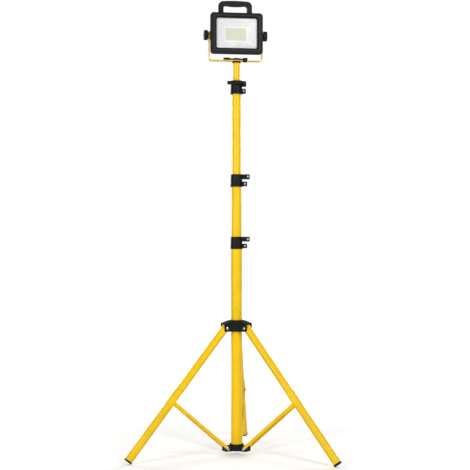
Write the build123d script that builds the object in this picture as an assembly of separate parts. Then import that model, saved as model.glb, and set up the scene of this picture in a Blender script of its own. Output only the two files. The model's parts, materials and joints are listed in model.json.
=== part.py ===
from build123d import *
import math
import os

# Portable work light on a telescopic tripod. Millimetres, +Z up, the lamp faces -Y.
# The origin is on the floor, on the mast's axis.

# ---- clearances ----
RUN = 0.06            # radial clearance of a pin or tube that turns or slides
GAP = 0.3             # space between separate bodies that don't bear on each other

# ---- mast tubes, outermost first ----
TUBE_R = [19.0, 17.5, 15.5, 12.0]
TUBE_WALL = 1.2
TUBE_BOTTOM = [20.0, 468.0, 778.0, 988.0]
TUBE_TOP = [755.0, 975.0, 1302.0, 1388.0]
GUIDE_FLANGE = 5.0    # thickness of the plastic guide ring under each inner tube
GUIDE_SPIGOT = 16.0
GUIDE_WALL = 2.0

# ---- brace hub at the foot of the mast ----
HUB_Z = 17.0
HUB_FLOOR = 3.0
HUB_TOP = 40.0
HUB_R = 25.0
LUG_TOP = 35.0
HUB_PIVOT_R = 42.5
HUB_PIVOT_Z = 28.0
LUG_NOSE_R = 7.0
HUB_PIN_R = 2.5

# ---- leg crown that slides on the mast ----
CROWN_Z = 437.0
CROWN_TOP = 477.0
CROWN_R = 25.0
CROWN_REACH = 54.0
CROWN_TIP_TOP = 466.0
CHEEK = 4.0
CROWN_PIVOT_R = 44.3
CROWN_PIVOT_Z = 449.0
LEG_PIN_R = 3.0
RIVET_HEAD_R = 5.0
RIVET_HEAD_T = 2.0
LOCK_Z = 457.0
LOCK_R = 13.0
LOCK_THICK = 16.0
LOCK_BOSS_R = 8.0
LOCK_BOSS = 4.5        # the boss stands this far out of the crown's ring
LOCK_SHANK_R = 4.0

# ---- legs ----
FIRST_LEG_ANGLE = 78.0   # direction of the rear leg, from +X towards +Y
LEG_COUNT = 3
LEG_R = 14.0
LEG_WALL = 1.2
LEG_ANGLE = 39.62        # from the vertical, opened
FOOT_R = 15.0
FOOT_CAP = 4.0
FOOT_SLEEVE = 18.0
FOOT_PLUG_WALL = 2.0

# ---- braces, U-channels that straddle the legs ----
BRACE_ALONG_LEG = 320.0  # from the leg's pivot down to the brace's pivot
BRACE_INSET = 4.5        # brace pivot below the leg's axis
SADDLE_T = 1.2
SADDLE_ABOVE = 46.0
SADDLE_BELOW = 14.0
SADDLE_RIVET = 36.0      # fixing rivet, above the brace pivot
SADDLE_RIVET_R = 3.5
BRACE_T = 1.5
BRACE_BACK = 6.5         # from the pivot line to the channel's back
BRACE_EDGE = 4.0         # from the pivot line to the channel's free edges
BRACE_END = 8.0
BRACE_WEB_START = 20.0
BRACE_WEB_STOP = 70.0    # web ends this far short of the leg pivot
BRACE_PIN_R = 2.5

# ---- tube clamps: lowest first ----
CLAMP_Z = [727.0, 946.0, 1273.0]
CLAMP_TOP = [770.0, 990.0, 1320.0]
CLAMP_R = 21.4            # all three collars share one mould's outside
CLAMP_TAPER = 1.4
CLAMP_RIM = 0.8
CLAMP_RIM_H = 4.0
UPPER_REACH = [CLAMP_R + beyond for beyond in (25.4, 25.4, 13.1)]
LOWER_REACH = [CLAMP_R + beyond for beyond in (16.2, 16.2, 11.6)]
UPPER_EAR_TOP = [0.0, 0.0, 3.0]   # below the clamp's top
UPPER_EAR_H = 17.0
LOWER_EAR_H = 16.0
LOWER_EAR_LIFT = 2.5
LEVER_SIDE = [1, 1, -1]           # +1: lever behind the mast, -1: in front
EAR_HALF = 9.0
EAR_SLOT = 3.0
EAR_ANGLE = -8.0
CLAMP_BOLT_R = 2.5
NUT_R = 4.6
NUT_T = 3.5
LEVER_R = 6.0
LEVER_PIN_R = 2.0
LEVER_H = [13.0, 13.0, 12.0]
LEVER_TOP = [2.0, 2.0, 3.5]       # below the clamp's top
LEVER_T = 5.0
LEVER_TAIL = [17.0, 16.0, 30.0]
LEVER_CLEAR = 1.2

# ---- top of the mast ----
PLUG_R = 15.0
PLUG_FLANGE = 5.0
PLUG_SPIGOT = 25.0
STUD_R = 4.0

# ---- U-bracket ----
BASE_Z = 1389.0
STRIP_T = 2.5
STRIP_HALF = 14.0
BRACKET_SHIFT = -4.0     # the bracket's middle stands this far to the side of the mast
BRACKET_BEND = 12.0
MOUNT_HOLE_R = 3.2
MOUNT_HOLE_X = 35.0

# ---- wing knob over the bracket's base ----
WING_R = 13.0
WING_Z = BASE_Z + STRIP_T + 0.8
WING_H = 8.7
WING_LEFT = 46.6
WING_RIGHT = 40.0
WING_TIP_R = 5.5
WING_LOBE_R = 8.5
WING_BOLT_R = 6.5
WING_WAIST = 2.2
WING_TIP_LENGTH = 13.0

# ---- clip that hangs on the base's front edge ----
CLIP_X = 27.5
CLIP_HALF = 7.5
CLIP_T = 3.5
CLIP_DROP = 5.5
CLIP_LIP = 6.0

# ---- lamp head ----
FRONT_Y = -45.0
FRAME_W = 185.0
FRAME_H = 144.0
PIVOT_Z = BASE_Z + FRAME_H / 2 + 18.0
HEAD_Z = PIVOT_Z + 3.0   # middle of the lamp, a little above its pivots
FRAME_DEPTH = 26.0
FRAME_CORNER = 12.0
FRAME_CHAMFER = 9.5
GLASS_W = FRAME_W - 42.0
GLASS_H = FRAME_H - 39.0
GLASS_CORNER = 6.0
GLASS_LAP = 4.0
GLASS_T = 4.0
GLASS_INSET = 8.0        # from the frame's front to the glass
BEVEL = 5.5
GASKET_T = 1.5
GASKET_W = 7.0
FLANGE_T = 3.0
FLANGE_W = FRAME_W - 9.0
FLANGE_H = FRAME_H - 8.0
BODY_W = FRAME_W - 25.0
BODY_H = FRAME_H - 26.0
BODY_BACK = 25.0
BODY_WALL = 3.0
BODY_CORNER = 10.0
FIN_COUNT = 13
FIN_PITCH = 11.5
FIN_T = 2.6
FIN_DEPTH = 10.0
FIN_HALF_H = BODY_H / 2 - 9.0
BOSS_R = 15.0
REFLECTOR_T = 1.2
REFLECTOR_W = GLASS_W - 12.0   # mouth of the slopes
REFLECTOR_H = GLASS_H - 12.0
REFLECTOR_LAND = 5.0    # flat rim round the light source
BOARD_W = 82.0
BOARD_H = 56.0
BOARD_T = 1.6
BOARD_Y = -11.0
CHIP_COLUMNS = 9
CHIP_ROWS = 6
CHIP_PITCH_X = 7.9
CHIP_PITCH_Z = 7.2
CHIP_W = 6.6
CHIP_H = 6.0
CHIP_T = 0.8
SINK_T = 5.0
DRIVER_W = 90.0
DRIVER_H = 44.0
DRIVER_T = 14.0

# ---- wiring box, gland and screws on the head ----
BOX_HALF_W = 31.0
BOX_LOW = HEAD_Z - 32.0
BOX_HIGH = HEAD_Z + 10.0
BOX_DEPTH = 20.0
GLAND_R = 8.0
GLAND_NUT_R = 10.0
GLAND_BORE_R = 3.8
SCREW_HEAD_R = 3.6
SCREW_HEAD_T = 2.2
SCREW_R = 1.9

# ---- carrying handle ----
HANDLE_HALF = 60.0
HANDLE_LEG = 18.0
HANDLE_TOP = HEAD_Z + FRAME_H / 2 + 47.5
HANDLE_BAR = 16.0
HANDLE_Y = 8.0
HANDLE_DEPTH = 17.0
HANDLE_ROUND = 18.0
HANDLE_INNER_ROUND = 9.0
HANDLE_EDGE = 4.0
HANDLE_BELLY = 2.5       # the bar is this much deeper in its middle
HANDLE_CROWN = 1.5       # and its top rises this much

# ---- side knobs and pivots ----
KNOB_R = 17.5
BRACKET_HALF = FRAME_W / 2 + 3.0   # bracket arms' outside
KNOB_OUTER = BRACKET_HALF + 16.5
KNOB_THICK = 13.5
KNOB_LOBES = 8
KNOB_GROOVE_R = 3.2
WASHER_R = 11.0


def cyl(radius, low, high, x=0.0, y=0.0):
    """Upright round bar from z=low to z=high."""
    return Pos(x, y, (low + high) / 2) * Cylinder(radius, high - low)


def cyl_x(radius, low, high, y=0.0, z=0.0):
    """Round bar along X."""
    return Pos((low + high) / 2, y, z) * Rot(0, 90, 0) * Cylinder(radius, high - low)


def cyl_y(radius, low, high, x=0.0, z=0.0):
    """Round bar along Y."""
    return Pos(x, (low + high) / 2, z) * Rot(90, 0, 0) * Cylinder(radius, high - low)


def block(x0, x1, y0, y1, z0, z1):
    """Box between two corners."""
    return Pos((x0 + x1) / 2, (y0 + y1) / 2, (z0 + z1) / 2) * Box(x1 - x0, y1 - y0, z1 - z0)


def ring(outer, inner, low, high):
    """Upright tube."""
    return cyl(outer, low, high) - cyl(inner, low - 1, high + 1)


def plate_xz(width, height, corner, y0, y1, z=HEAD_Z):
    """Rounded rectangle in the XZ plane, from y0 back to y1."""
    outline = Plane.XZ * RectangleRounded(width, height, corner)
    return Pos(0, y1, z) * extrude(outline, y1 - y0)


def bar_xy(start, end, half, low, high):
    """Round-ended bar between two points of the XY plane."""
    dx = end[0] - start[0]
    dy = end[1] - start[1]
    length = math.hypot(dx, dy)
    middle = Pos((start[0] + end[0]) / 2, (start[1] + end[1]) / 2, low)
    outline = SlotCenterToCenter(length, 2 * half)
    return middle * Rot(0, 0, math.degrees(math.atan2(dy, dx))) * extrude(outline, high - low)


def leg_turn(index):
    """Turns a piece drawn along +X to its leg's direction."""
    return Rot(0, 0, FIRST_LEG_ANGLE - index * 360 / LEG_COUNT)


def along_leg():
    """Frame of a leg: the pivot is its origin and the tube runs down its -Z."""
    return Pos(CROWN_PIVOT_R, 0, CROWN_PIVOT_Z) * Rot(0, -LEG_ANGLE, 0)


def brace_pivot():
    """Brace-to-leg pivot, as radius and height."""
    lean = math.radians(LEG_ANGLE)
    radius = CROWN_PIVOT_R + BRACE_ALONG_LEG * math.sin(lean) - BRACE_INSET * math.cos(lean)
    height = CROWN_PIVOT_Z - BRACE_ALONG_LEG * math.cos(lean) - BRACE_INSET * math.sin(lean)
    return radius, height


def leg_length():
    """Leg tube from its pivot to its end, so that the foot cap stands on z=0."""
    lean = math.radians(LEG_ANGLE)
    drop = CROWN_PIVOT_Z - FOOT_R * math.sin(lean)
    return drop / math.cos(lean) - FOOT_CAP


# ---------------- mast ----------------

def mast_tube(index):
    low = TUBE_BOTTOM[index]
    high = TUBE_TOP[index]
    return ring(TUBE_R[index], TUBE_R[index] - TUBE_WALL, low, high)


def tube_guide(index):
    """Plastic ring under an inner tube. It slides in the tube outside it."""
    low = TUBE_BOTTOM[index]
    slide_r = TUBE_R[index - 1] - TUBE_WALL - RUN
    spigot_r = TUBE_R[index] - TUBE_WALL
    body = cyl(slide_r, low - GUIDE_FLANGE, low) + cyl(spigot_r, low, low + GUIDE_SPIGOT)
    return body - cyl(spigot_r - GUIDE_WALL, low - GUIDE_FLANGE - 1, low + GUIDE_SPIGOT + 1)


def lug_profile():
    """Side view of one hub lug, with a round nose about its pivot."""
    web = block(0, HUB_PIVOT_R, -1, 1, HUB_Z, LUG_TOP)
    nose = cyl_y(LUG_NOSE_R, -1, 1, HUB_PIVOT_R, HUB_PIVOT_Z)
    foot = block(HUB_PIVOT_R, HUB_PIVOT_R + LUG_NOSE_R, -1, 1, HUB_Z, HUB_PIVOT_Z)
    return web + nose + foot


def lug_half():
    """Half width of a hub lug, between the brace's cheeks."""
    return LEG_R + SADDLE_T


def brace_inner():
    """Half the space between a brace's cheeks."""
    return LEG_R + SADDLE_T + GAP


def brace_hub():
    body = cyl(HUB_R, HUB_Z, HUB_TOP)
    lug = scale(lug_profile(), by=(1, lug_half(), 1))
    for index in range(LEG_COUNT):
        body += leg_turn(index) * lug
    body -= cyl(TUBE_R[0], HUB_Z + HUB_FLOOR, HUB_TOP + 1)
    for index in range(LEG_COUNT):
        body -= leg_turn(index) * cyl_y(HUB_PIN_R, -lug_half() - 1, lug_half() + 1,
                                        HUB_PIVOT_R, HUB_PIVOT_Z)
    return body


def hub_pins():
    pins = []
    outer = brace_inner() + BRACE_T + GAP / 2
    for index in range(LEG_COUNT):
        pin = cyl_y(HUB_PIN_R, -outer, outer, HUB_PIVOT_R, HUB_PIVOT_Z)
        for side in (-1, 1):
            low = min(side * outer, side * (outer + RIVET_HEAD_T))
            pin += cyl_y(RIVET_HEAD_R, low, low + RIVET_HEAD_T, HUB_PIVOT_R, HUB_PIVOT_Z)
        pins.append(leg_turn(index) * pin)
    return pins


def crown_arm():
    """One arm of the crown, with the slot that its leg swings in."""
    outline = Polyline((0, CROWN_Z), (CROWN_REACH - 4, CROWN_Z), (CROWN_REACH, CROWN_Z + 5),
                       (CROWN_REACH, CROWN_TIP_TOP), (CROWN_R, CROWN_TOP - 1.5), (0, CROWN_TOP - 1.5),
                       close=True)
    half = LEG_R + GAP + CHEEK
    arm = Pos(0, half, 0) * extrude(Plane.XZ * make_face(outline), 2 * half)
    return fillet(arm.faces().sort_by(Axis.X)[-1].edges().filter_by(Axis.Z), 2.5)


def crown_slot():
    """Space for the leg's round end and its swing."""
    half = LEG_R + GAP
    room = LEG_R + GAP
    slot = block(CROWN_PIVOT_R, CROWN_REACH + 5, -half, half, CROWN_Z - 1, CROWN_PIVOT_Z + room)
    slot += block(CROWN_PIVOT_R - room, CROWN_PIVOT_R, -half, half, CROWN_Z - 1, CROWN_PIVOT_Z)
    return slot + cyl_y(room, -half, half, CROWN_PIVOT_R, CROWN_PIVOT_Z)


def leg_crown():
    body = cyl(CROWN_R, CROWN_Z, CROWN_TOP)
    for index in range(LEG_COUNT):
        body += leg_turn(index) * crown_arm()
    outer = LEG_R + GAP + CHEEK
    for index in range(LEG_COUNT):
        body -= leg_turn(index) * crown_slot()
        body -= leg_turn(index) * cyl_y(LEG_PIN_R, -outer - 1, outer + 1,
                                        CROWN_PIVOT_R, CROWN_PIVOT_Z)
    body += lock_turn() * cyl_x(LOCK_BOSS_R, TUBE_R[0] + 1, CROWN_R + LOCK_BOSS, 0, LOCK_Z)
    body -= cyl(TUBE_R[0] + RUN, CROWN_Z - 1, CROWN_TOP + 1)
    return body - lock_turn() * cyl_x(LOCK_SHANK_R + RUN, 0, CROWN_REACH, 0, LOCK_Z)


def crown_pins():
    pins = []
    outer = LEG_R + GAP + CHEEK
    for index in range(LEG_COUNT):
        pin = cyl_y(LEG_PIN_R, -outer, outer, CROWN_PIVOT_R, CROWN_PIVOT_Z)
        for side in (-1, 1):
            low = min(side * outer, side * (outer + RIVET_HEAD_T))
            pin += cyl_y(RIVET_HEAD_R, low, low + RIVET_HEAD_T, CROWN_PIVOT_R, CROWN_PIVOT_Z)
        pins.append(leg_turn(index) * pin)
    return pins


def lock_turn():
    """The lock knob stands between the rear leg and the left one."""
    return Rot(0, 0, FIRST_LEG_ANGLE + 180 / LEG_COUNT)


def lock_start():
    """Inner face of the lock knob, clear of the crown's boss."""
    return CROWN_R + LOCK_BOSS + GAP


def crown_lock_knob():
    start = lock_start()
    knob = cyl_x(LOCK_R, start, start + LOCK_THICK, 0, LOCK_Z)
    for step in range(KNOB_LOBES):
        angle = math.radians((step + 0.5) * 360 / KNOB_LOBES)
        y = (LOCK_R + 1) * math.cos(angle)
        z = LOCK_Z + (LOCK_R + 1) * math.sin(angle)
        knob -= cyl_x(KNOB_GROOVE_R, start - 1, start + LOCK_THICK + 1, y, z)
    return lock_turn() * (knob - cyl_x(LOCK_SHANK_R, start - 1, start + LOCK_THICK - 4, 0, LOCK_Z))


def crown_lock_screw():
    start = TUBE_R[0] + RUN + GAP
    stop = lock_start() + LOCK_THICK - 4
    return lock_turn() * cyl_x(LOCK_SHANK_R, start, stop, 0, LOCK_Z)


# ---------------- legs and braces ----------------

def leg_tube(index):
    tube = ring(LEG_R, LEG_R - LEG_WALL, -leg_length(), 0)
    end = ring(LEG_R, LEG_R - LEG_WALL, 0, LEG_R + 1) & cyl_y(LEG_R, -LEG_R - 1, LEG_R + 1)
    tube += end
    tube -= cyl_y(LEG_PIN_R + RUN, -LEG_R - 1, LEG_R + 1)
    tube -= cyl_y(BRACE_PIN_R, -LEG_R - 1, LEG_R + 1, -BRACE_INSET, -BRACE_ALONG_LEG)
    return leg_turn(index) * along_leg() * tube


def foot_cap(index):
    end = -leg_length()
    cap = cyl(FOOT_R, end - FOOT_CAP, end) + cyl(LEG_R - LEG_WALL, end, end + FOOT_SLEEVE)
    cap -= cyl(LEG_R - LEG_WALL - FOOT_PLUG_WALL, end, end + FOOT_SLEEVE + 1)
    return leg_turn(index) * along_leg() * cap


def leg_saddle(index):
    """Strap folded over the leg's upper side, where the brace's rivet passes."""
    low = -BRACE_ALONG_LEG - SADDLE_BELOW
    high = -BRACE_ALONG_LEG + SADDLE_ABOVE
    outer = LEG_R + SADDLE_T
    strap = cyl(outer, low, high) + block(-BRACE_INSET - BRACE_EDGE, 0, -outer, outer, low, high)
    strap -= cyl(LEG_R, low - 1, high + 1)
    strap -= block(-outer - 1, 0, -LEG_R, LEG_R, low - 1, high + 1)
    strap -= block(-outer - 1, -BRACE_INSET - BRACE_EDGE, -outer - 1, outer + 1, low - 1, high + 1)
    strap -= cyl_y(BRACE_PIN_R, -outer - 1, outer + 1, -BRACE_INSET, -BRACE_ALONG_LEG)
    return leg_turn(index) * along_leg() * strap


def leg_rivets(index):
    """Shank that the brace turns on and the pop rivet that holds the saddle."""
    outer = LEG_R + SADDLE_T
    shank = cyl_y(BRACE_PIN_R, -outer, outer, -BRACE_INSET, -BRACE_ALONG_LEG)
    rivet_z = -BRACE_ALONG_LEG + SADDLE_RIVET
    head = cyl_x(SADDLE_RIVET_R, outer, outer + 1.5, 0, rivet_z)
    place = leg_turn(index) * along_leg()
    return [place * shank, place * head]


def brace(index):
    radius, height = brace_pivot()
    run = radius - HUB_PIVOT_R
    rise = height - HUB_PIVOT_Z
    length = math.hypot(run, rise)
    inner = brace_inner()
    outer = inner + BRACE_T
    side = block(0, length, inner, outer, -BRACE_EDGE, BRACE_BACK)
    side += block(-BRACE_END, 0, inner, outer, -BRACE_EDGE, BRACE_EDGE)
    side += cyl_y(BRACE_BACK, inner, outer, length, 0)
    side -= block(length, length + BRACE_BACK + 1, inner - 1, outer + 1, -BRACE_BACK - 1, -BRACE_EDGE)
    side -= cyl_y(HUB_PIN_R + RUN, inner - 1, outer + 1)
    side += cyl_y(RIVET_HEAD_R, outer, outer + RIVET_HEAD_T, length, 0)
    channel = side + mirror(side, Plane.XZ)
    channel += block(BRACE_WEB_START, length - BRACE_WEB_STOP, -outer, outer,
                     BRACE_BACK - BRACE_T, BRACE_BACK)
    lean = math.degrees(math.atan2(rise, run))
    place = leg_turn(index) * Pos(HUB_PIVOT_R, 0, HUB_PIVOT_Z) * Rot(0, -lean, 0)
    return place * channel


# ---------------- clamps ----------------

def bolt_z(index):
    """Height of the lever's bolt."""
    return CLAMP_TOP[index] - UPPER_EAR_TOP[index] - UPPER_EAR_H / 2


def lever_pin_x(index):
    return UPPER_REACH[index] - LEVER_R - 1


def lower_bolt(index):
    """Place of the fixing bolt in the lower ears."""
    return LOWER_REACH[index] - NUT_R - 3, CLAMP_Z[index] + LOWER_EAR_LIFT + LOWER_EAR_H / 2


def clamp_body(index):
    low = CLAMP_Z[index]
    high = CLAMP_TOP[index]
    shell = Pos(0, 0, (low + high) / 2) * Cone(CLAMP_R, CLAMP_R - CLAMP_TAPER, high - low)
    shell += cyl(CLAMP_R + CLAMP_RIM, low, low + CLAMP_RIM_H)
    ear_top = high - UPPER_EAR_TOP[index]
    upper = block(0, UPPER_REACH[index], -EAR_HALF, EAR_HALF, ear_top - UPPER_EAR_H, ear_top)
    lower_z = low + LOWER_EAR_LIFT
    lower = block(0, LOWER_REACH[index], -EAR_HALF, EAR_HALF, lower_z, lower_z + LOWER_EAR_H)
    upper = fillet(upper.faces().sort_by(Axis.X)[-1].edges().filter_by(Axis.Y), 3)
    lower = fillet(lower.faces().sort_by(Axis.X)[-1].edges().filter_by(Axis.Y), 3)
    shell += upper
    shell += lower
    shell -= cyl(TUBE_R[index], low - 1, TUBE_TOP[index])
    shell -= cyl(TUBE_R[index + 1] + RUN, low, high + 1)
    reach = max(UPPER_REACH[index], LOWER_REACH[index])
    shell -= block(0, reach + 1, -EAR_SLOT / 2, EAR_SLOT / 2, low - 1, high + 1)
    shell -= cyl_y(CLAMP_BOLT_R, -EAR_HALF - 1, EAR_HALF + 1, lever_pin_x(index), bolt_z(index))
    x, z = lower_bolt(index)
    shell -= cyl_y(CLAMP_BOLT_R, -EAR_HALF - 1, EAR_HALF + 1, x, z)
    return Rot(0, 0, EAR_ANGLE) * shell


def hex_y(radius, low, high, x, z):
    """Hexagon bar along Y."""
    outline = Plane.XZ * RegularPolygon(radius, 6)
    return Pos(x, high, z) * extrude(outline, high - low)


def lever_pin_y(index):
    """Distance of the lever's pin from the mast's axis plane, with its side."""
    return LEVER_SIDE[index] * (EAR_HALF + GAP + LEVER_R)


def clamp_bolts(index):
    """Lever bolt with its cross pin and nut, and the fixing bolt below."""
    x = lever_pin_x(index)
    z = bolt_z(index)
    pin_y = lever_pin_y(index)
    far = -LEVER_SIDE[index] * (EAR_HALF + NUT_T)
    bolt = cyl_y(CLAMP_BOLT_R, min(pin_y, far), max(pin_y, far), x, z)
    nut_low = min(far, far + LEVER_SIDE[index] * NUT_T)
    bolt += hex_y(NUT_R, nut_low, nut_low + NUT_T, x, z)
    top = CLAMP_TOP[index] - LEVER_TOP[index]
    bolt += cyl(LEVER_PIN_R, top - LEVER_H[index], top, x, pin_y)
    fix_x, fix_z = lower_bolt(index)
    fixing = cyl_y(CLAMP_BOLT_R, -EAR_HALF - NUT_T, EAR_HALF + NUT_T, fix_x, fix_z)
    for low in (-EAR_HALF - NUT_T, EAR_HALF):
        fixing += hex_y(NUT_R, low, low + NUT_T, fix_x, fix_z)
    turn = Rot(0, 0, EAR_ANGLE)
    return [turn * bolt, turn * fixing]


def clamp_lever(index):
    """Cam lever that lies against the collar when it is locked."""
    x = lever_pin_x(index)
    y = lever_pin_y(index)
    side = LEVER_SIDE[index]
    top = CLAMP_TOP[index] - LEVER_TOP[index]
    low = top - LEVER_H[index]
    arm_y = side * (CLAMP_R + LEVER_CLEAR + LEVER_T / 2)
    elbow = CLAMP_R * 0.6
    half = LEVER_T / 2
    lever = cyl(LEVER_R, low, top, x, y)
    tip = (-LEVER_TAIL[index], arm_y - side * 1.5)
    route = [(x, y + side * 2), (elbow, arm_y), (-elbow, arm_y), tip]
    for start, end in zip(route, route[1:]):
        lever += bar_xy(start, end, half, low, top)
    lever -= cyl(LEVER_PIN_R + RUN, low - 1, top + 1, x, y)
    room = CLAMP_BOLT_R + GAP
    z = bolt_z(index)
    near = min(y - side * (LEVER_R + 1), y + side * room)
    deep = max(y - side * (LEVER_R + 1), y + side * room)
    lever -= block(x - room, x + LEVER_R + 1, near, deep, z - room, z + room)
    return Rot(0, 0, EAR_ANGLE) * lever


# ---------------- top of the mast and bracket ----------------

def top_plug():
    top = BASE_Z
    low = TUBE_TOP[3]
    spigot_r = TUBE_R[3] - TUBE_WALL
    body = cyl(PLUG_R, low - PLUG_FLANGE, top) - cyl(TUBE_R[3], low - PLUG_FLANGE - 1, low)
    body += cyl(spigot_r, low - PLUG_SPIGOT, low)
    return body - cyl(STUD_R, low - PLUG_SPIGOT - 1, top + 1)


def top_stud():
    low = TUBE_TOP[3] - PLUG_SPIGOT
    return cyl(STUD_R, low, WING_Z + WING_H - WING_WAIST)


def bracket():
    """Flat strip bent to a U, with a round eye at each end."""
    inner = BRACKET_HALF - STRIP_T
    low = BASE_Z
    height = PIVOT_Z - BASE_Z
    outside = block(-BRACKET_HALF, BRACKET_HALF, -STRIP_HALF, STRIP_HALF, low, low + height)
    inside = block(-inner, inner, -STRIP_HALF - 1, STRIP_HALF + 1, low + STRIP_T, low + height + 1)
    bottom = outside.faces().sort_by(Axis.Z)[0].edges().filter_by(Axis.Y)
    outside = fillet(bottom, BRACKET_BEND)
    floor = inside.faces().sort_by(Axis.Z)[0].edges().filter_by(Axis.Y)
    inside = fillet(floor, BRACKET_BEND - STRIP_T)
    strip = outside - inside
    for side in (-1, 1):
        start = min(side * inner, side * BRACKET_HALF)
        strip += cyl_x(STRIP_HALF, start, start + STRIP_T, 0, PIVOT_Z)
        strip -= cyl_x(STUD_R + RUN, start - 1, start + STRIP_T + 1, 0, PIVOT_Z)
    strip = Pos(BRACKET_SHIFT, 0, 0) * strip
    for side in (-1, 1):
        strip -= cyl(MOUNT_HOLE_R, low - 1, low + STRIP_T + 1, side * MOUNT_HOLE_X)
    return strip - cyl(STUD_R + RUN, low - 1, low + STRIP_T + 1)


def wing_knob():
    """Two-armed knob: a slim waist, a rounded left tip and a chunky right lobe."""
    high = WING_Z + WING_H
    waist_low = WING_Z + WING_WAIST
    waist_high = high - WING_WAIST
    tip_x = -WING_LEFT + WING_TIP_R
    lobe_x = WING_RIGHT - WING_LOBE_R
    knob = cyl(WING_R, WING_Z, waist_high)
    knob += bar_xy((0, 0), (tip_x, 0), WING_TIP_R - 1.5, waist_low, waist_high)
    knob += bar_xy((0, 0), (lobe_x, 0), WING_TIP_R, waist_low, waist_high)
    knob += bar_xy((tip_x + WING_TIP_LENGTH, 0), (tip_x, 0), WING_TIP_R, WING_Z, high)
    knob += cyl(WING_LOBE_R, WING_Z, high, lobe_x)
    return knob - cyl(STUD_R, WING_Z - 1, high + 1)


def wing_bolt_cap():
    high = WING_Z + WING_H
    return cyl(WING_BOLT_R, high - WING_WAIST, high)


def bracket_clip():
    """Small hook that grips the base's front edge."""
    front = -STRIP_HALF
    top = BASE_Z + STRIP_T
    clip = block(CLIP_X - CLIP_HALF, CLIP_X + CLIP_HALF, front - CLIP_T, front, BASE_Z - CLIP_DROP, top)
    under = BASE_Z - CLIP_T
    clip += block(CLIP_X - CLIP_HALF, CLIP_X + CLIP_HALF, front, front + CLIP_LIP, under, BASE_Z)
    return clip


# ---------------- lamp head ----------------

def front_frame():
    y1 = FRONT_Y + FRAME_DEPTH
    frame = plate_xz(FRAME_W, FRAME_H, FRAME_CORNER, FRONT_Y, y1)
    rim = frame.faces().sort_by(Axis.Y)[0].edges()
    frame = chamfer(rim, FRAME_CHAMFER)
    frame -= plate_xz(GLASS_W, GLASS_H, GLASS_CORNER, FRONT_Y - 1, y1 + 1)
    inner = frame.faces().sort_by(Axis.Y)[0].inner_wires()[0].edges()
    frame = chamfer(inner, BEVEL)
    seat = FRONT_Y + GLASS_INSET
    lap = 2 * GLASS_LAP
    frame -= plate_xz(GLASS_W + lap, GLASS_H + lap, GLASS_CORNER, seat, y1 + 1)
    for x, z in screw_places():
        frame -= cyl_y(SCREW_R, y1 - 6, y1 + 1, x, z)
    return frame


def screw_places():
    """Corner screws that hold the front frame to the housing."""
    x = FLANGE_W / 2 - 6
    z = FLANGE_H / 2 - 6
    return [(sx * x, HEAD_Z + sz * z) for sx in (-1, 1) for sz in (-1, 1)]


def glass_clear():
    return 2 * (GLASS_LAP - GAP)


def front_glass():
    y0 = FRONT_Y + GLASS_INSET
    return plate_xz(GLASS_W + glass_clear(), GLASS_H + glass_clear(), GLASS_CORNER, y0, y0 + GLASS_T)


def flange_y():
    """Front face of the housing's flange, behind the gasket."""
    return FRONT_Y + FRAME_DEPTH + GASKET_T


def gasket():
    y0 = FRONT_Y + FRAME_DEPTH
    outer_w = BODY_W + 2
    outer_h = BODY_H + 2
    seal = plate_xz(outer_w, outer_h, BODY_CORNER, y0, y0 + GASKET_T)
    return seal - plate_xz(outer_w - 2 * GASKET_W, outer_h - 2 * GASKET_W, GLASS_CORNER,
                           y0 - 1, y0 + GASKET_T + 1)


def rear_housing():
    """Cast shell with a front flange, cooling fins behind and a boss on each side."""
    y0 = flange_y()
    shell = plate_xz(FLANGE_W, FLANGE_H, FRAME_CORNER, y0, y0 + FLANGE_T)
    shell += plate_xz(BODY_W, BODY_H, BODY_CORNER, y0, BODY_BACK)
    for side in (-1, 1):
        face = BRACKET_HALF - STRIP_T - GAP - 1.5
        shell += cyl_x(BOSS_R, min(0, side * face), max(0, side * face), 0, PIVOT_Z)
    first = -(FIN_COUNT - 1) / 2 * FIN_PITCH
    for step in range(FIN_COUNT):
        x = first + step * FIN_PITCH
        low = HEAD_Z - FIN_HALF_H
        if abs(x) < BOX_HALF_W + FIN_T:
            low = BOX_HIGH + 3
        shell += block(x - FIN_T / 2, x + FIN_T / 2, BODY_BACK - 1, BODY_BACK + FIN_DEPTH,
                       low, HEAD_Z + FIN_HALF_H)
    wall = 2 * BODY_WALL
    shell -= plate_xz(BODY_W - wall, BODY_H - wall, BODY_CORNER - BODY_WALL, y0 - 1,
                      BODY_BACK - BODY_WALL)
    for x, z in screw_places():
        shell -= cyl_y(SCREW_R, y0 - 1, y0 + FLANGE_T + 1, x, z)
    for side in (-1, 1):
        inside = BODY_W / 2 - BODY_WALL
        face = BRACKET_HALF
        shell -= cyl_x(STUD_R, min(side * inside, side * face), max(side * inside, side * face),
                       0, PIVOT_Z)
    shell -= cyl_y(GLAND_BORE_R, BODY_BACK - BODY_WALL - 1, BODY_BACK + 1, 0, (BOX_LOW + BOX_HIGH) / 2)
    return shell


def tray_solid(y_front, y_back, mouth_w, mouth_h, floor_w, floor_h):
    """Solid that tapers from the glass to the light source."""
    mouth = Pos(0, y_front, HEAD_Z) * (Plane.XZ * Rectangle(mouth_w, mouth_h))
    floor = Pos(0, y_back, HEAD_Z) * (Plane.XZ * Rectangle(floor_w, floor_h))
    return Solid.make_loft([mouth.wires()[0], floor.wires()[0]], ruled=True)


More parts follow.
